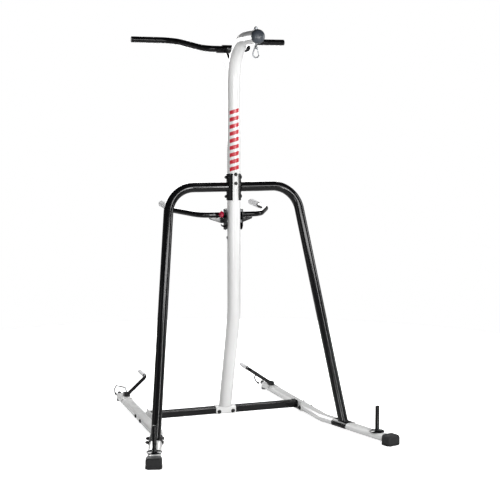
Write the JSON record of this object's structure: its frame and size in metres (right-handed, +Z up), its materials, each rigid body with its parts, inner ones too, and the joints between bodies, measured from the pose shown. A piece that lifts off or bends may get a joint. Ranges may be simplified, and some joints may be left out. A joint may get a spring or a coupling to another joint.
{
  "type": "punching bag stand",
  "caption": "Free-standing bag stand with a bent post and hook arm, pull-up bar, sliding dip bar, leaning tube frame, weight pegs and push-up handles.",
  "frame": {"origin": "centre of the footprint's bounding box, on the floor", "axes": "+Z up, -Y toward the side the bag hangs on, +X to the right of a viewer facing that side"},
  "size_m": [1.3736, 1.6814, 2.176],
  "materials": {
    "white_paint": "gloss white powder coat",
    "black_paint": "gloss black powder coat",
    "black_rubber": "matte moulded rubber",
    "grey_foam": "matte closed-cell foam",
    "grey_plastic": "satin dark slate",
    "light_plastic": "satin light grey",
    "red_plastic": "glossy red",
    "black_steel": "black oxide",
    "zinc_steel": "bright zinc"
  },
  "bodies": {
    "stand": {"arm_end_cap": "grey_plastic", "band_peg_left": "black_rubber", "band_peg_right": "black_rubber", "base_leg_left": "white_paint", "base_leg_right": "white_paint", "crossbar_left": "black_paint", "crossbar_right": "black_paint", "eye_bolt": "zinc_steel", "eye_bolt_nut": "zinc_steel", "frame_half_left": "black_paint", "frame_half_right": "black_paint", "front_boot_left": "black_rubber", "front_boot_right": "black_rubber", "handle_saddle_left": "white_paint", "handle_saddle_right": "white_paint", "joint_bolt_back_left": "black_steel", "joint_bolt_back_right": "black_steel", "joint_bolt_front_left": "black_steel", "joint_bolt_front_right": "black_steel", "joint_plate_left": "white_paint", "joint_plate_right": "white_paint", "lower_post": "white_paint", "post_bolt_lower": "black_steel", "post_bolt_upper": "black_steel", "post_foot_socket": "white_paint", "post_screw_lower": "black_steel", "post_screw_upper": "black_steel", "pull_up_bar": "black_paint", "pull_up_bar_plug_left": "black_rubber", "pull_up_bar_plug_right": "black_rubber", "pull_up_cradle": "black_paint", "pull_up_gusset": "white_paint", "pull_up_strap": "black_paint", "pull_up_strap_bolt_back": "black_steel", "pull_up_strap_bolt_front": "black_steel", "push_up_grip_left": "grey_foam", "push_up_grip_right": "grey_foam", "push_up_handle_left": "black_paint", "push_up_handle_right": "black_paint", "rear_cap_left": "light_plastic", "rear_cap_right": "light_plastic", "saddle_bolt_back_left": "black_steel", "saddle_bolt_back_right": "black_steel", "saddle_bolt_front_left": "black_steel", "saddle_bolt_front_right": "black_steel", "socket_bolt_left": "black_steel", "socket_bolt_right": "black_steel", "upper_post": "white_paint", "weight_peg_left": "black_paint", "weight_peg_right": "black_paint"},
    "dip_station": {"dip_carriage": "black_paint", "dip_bar": "black_paint", "dip_brace": "black_paint", "dip_grip_left": "grey_foam", "dip_grip_right": "grey_foam", "pin_housing": "black_steel", "carriage_hook": "black_steel"},
    "pull_pin": {"pull_pin": "red_plastic"},
    "snap_hook": {"snap_hook": "zinc_steel"},
    "snap_hook_gate": {"snap_hook_gate": "zinc_steel"}
  },
  "joints": [
    {"name": "dip_station_slide", "type": "slide", "parent": "stand", "child": "dip_station", "axis": [0, 0, 1], "range_m": [-0.13, 0]},
    {"name": "pull_pin_slide", "type": "slide", "parent": "dip_station", "child": "pull_pin", "axis": [-1, 0, 0], "range_m": [0, 0.012], "stiffness_N_per_m": 400, "springref_m": -0.004},
    {"name": "snap_hook_swing", "type": "hinge", "parent": "stand", "child": "snap_hook", "pos_m": [0, -0.48705, 2.0633], "axis": [0, 1, 0], "range_deg": [-60, 60]},
    {"name": "snap_hook_gate_hinge", "type": "hinge", "parent": "snap_hook", "child": "snap_hook_gate", "pos_m": [0.01515, -0.48705, 2.03441], "axis": [0, -1, 0], "range_deg": [0, 22], "stiffness_Nm_per_rad": 0.03, "springref_deg": -17.19}
  ]
}
